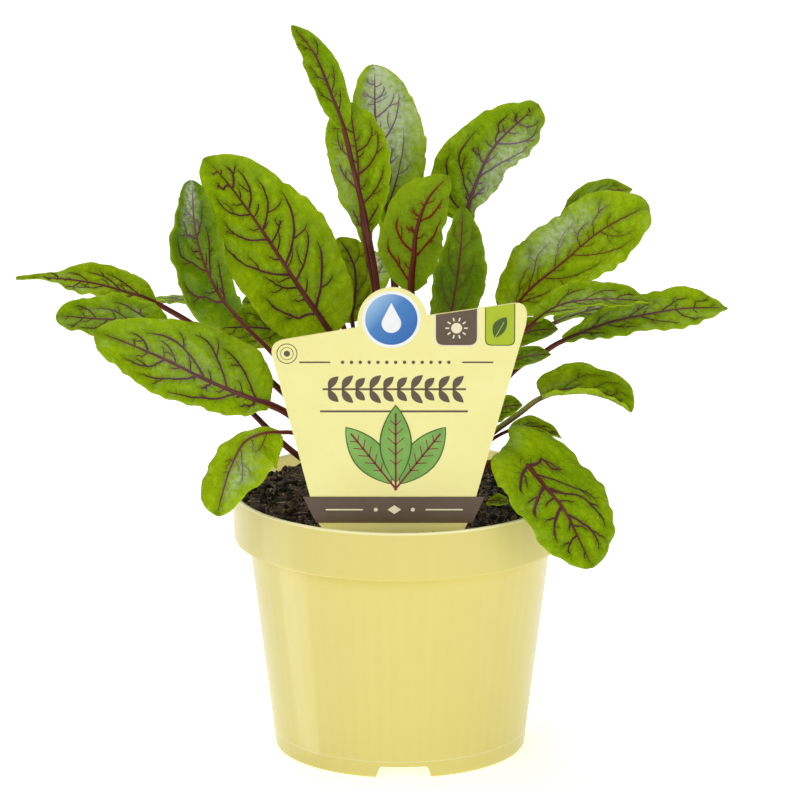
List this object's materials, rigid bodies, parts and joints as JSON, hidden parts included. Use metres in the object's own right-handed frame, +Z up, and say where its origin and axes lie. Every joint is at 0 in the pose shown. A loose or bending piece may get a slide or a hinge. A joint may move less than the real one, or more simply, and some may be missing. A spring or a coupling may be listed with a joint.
{
  "type": "potted sorrel plant",
  "caption": "Potted sorrel plant: lance-shaped green leaves with red midribs on red stalks, growing from soil in a tapered yellow plastic pot with a plain picture label.",
  "frame": {"origin": "centre of the pot's underside, on the surface that the pot stands on", "axes": "+Z up along the pot's axis, -Y towards the front, which the label's printed side faces, +X to the right seen from the front"},
  "size_m": [0.2521, 0.1655, 0.2622],
  "materials": {
    "pot_plastic": "satin pale yellow moulded plastic",
    "label_card": "smooth printed plastic sheet in pale yellow, brown, green and blue",
    "soil": "matt crumbly dark peat",
    "stalk": "smooth satin dark red leaf stalks and ribs",
    "leaf": "satin green leaf blades with dark red veins"
  },
  "bodies": {
    "root": {"pot": "pot_plastic", "label": "label_card", "soil": "soil", "stalks": "stalk", "leaf_01": "leaf", "leaf_02": "leaf", "leaf_03": "leaf", "leaf_04": "leaf", "leaf_05": "leaf", "leaf_06": "leaf", "leaf_07": "leaf", "leaf_08": "leaf", "leaf_09": "leaf", "leaf_10": "leaf", "leaf_11": "leaf", "leaf_12": "leaf", "leaf_13": "leaf", "leaf_14": "leaf", "leaf_15": "leaf", "leaf_16": "leaf", "leaf_17": "leaf", "leaf_18": "leaf", "leaf_19": "leaf", "leaf_20": "leaf", "leaf_21": "leaf", "leaf_22": "leaf", "leaf_23": "leaf", "leaf_24": "leaf", "leaf_25": "leaf", "leaf_26": "leaf", "leaf_27": "leaf", "leaf_28": "leaf", "leaf_29": "leaf", "leaf_30": "leaf", "leaf_31": "leaf", "leaf_32": "leaf", "leaf_33": "leaf", "leaf_34": "leaf"}
  },
  "joints": []
}
